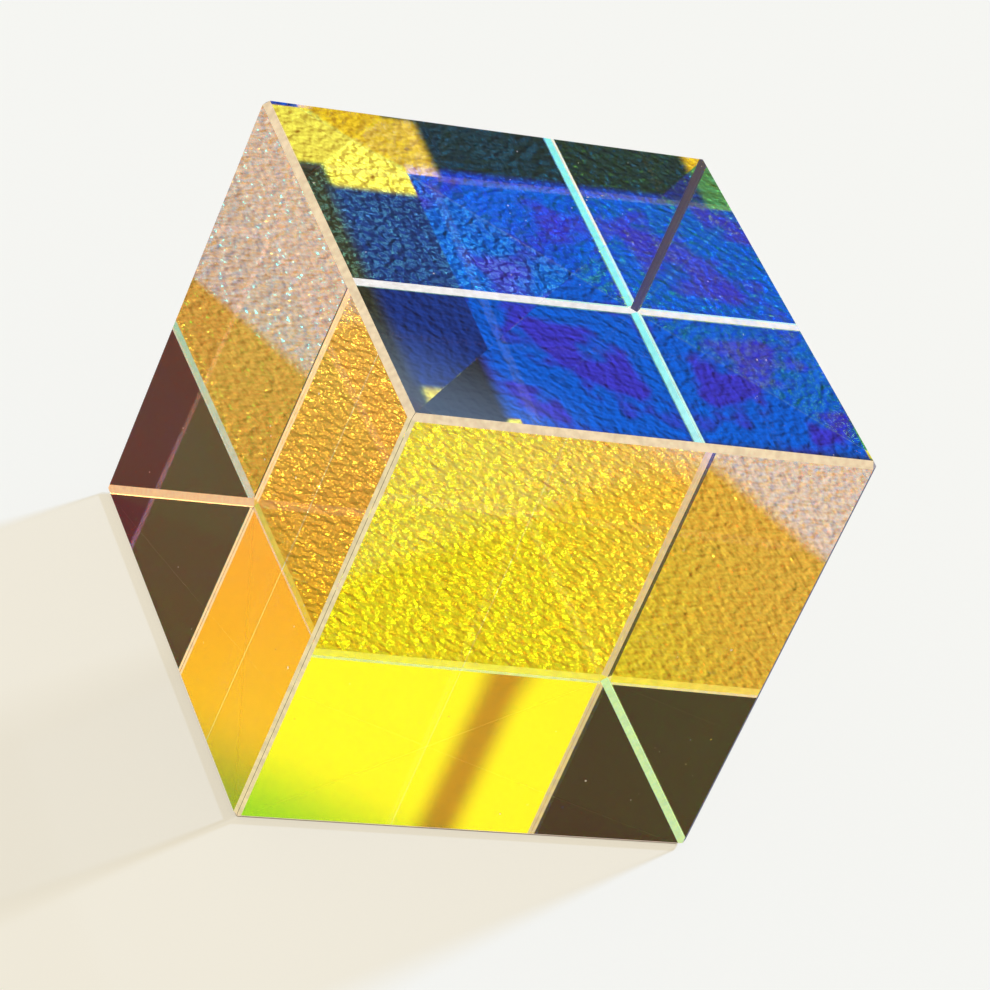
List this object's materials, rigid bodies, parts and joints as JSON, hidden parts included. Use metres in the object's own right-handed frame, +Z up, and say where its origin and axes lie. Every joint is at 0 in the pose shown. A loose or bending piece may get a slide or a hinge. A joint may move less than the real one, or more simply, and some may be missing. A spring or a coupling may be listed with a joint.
{
  "type": "dichroic prism cube",
  "caption": "Clear glass cube of right-angle prisms cemented together, with red and blue reflecting mirror coatings that cross inside it to split or combine colours of light.",
  "frame": {"origin": "centre of the bottom face, where the two mirrors cross", "axes": "+Z up along the line where the two mirrors cross, +X from the left face to the right face, +Y from the front face to the back face"},
  "size_m": [0.025, 0.025, 0.025],
  "materials": {
    "optical_glass": "clear crown glass, polished on all six faces, with fine ground bevels",
    "blue_mirror_coating": "dichroic coating that reflects blue and lets yellow through",
    "red_mirror_coating": "dichroic coating that reflects red and lets blue-green through",
    "optical_cement": "clear cured optical cement"
  },
  "bodies": {
    "root": {"prism_front": "optical_glass", "prism_right": "optical_glass", "prism_back": "optical_glass", "prism_left": "optical_glass", "blue_mirror_front": "blue_mirror_coating", "blue_mirror_back": "blue_mirror_coating", "red_mirror": "red_mirror_coating", "pair_cement_front": "optical_cement", "pair_cement_back": "optical_cement", "middle_cement": "optical_cement"}
  },
  "joints": []
}
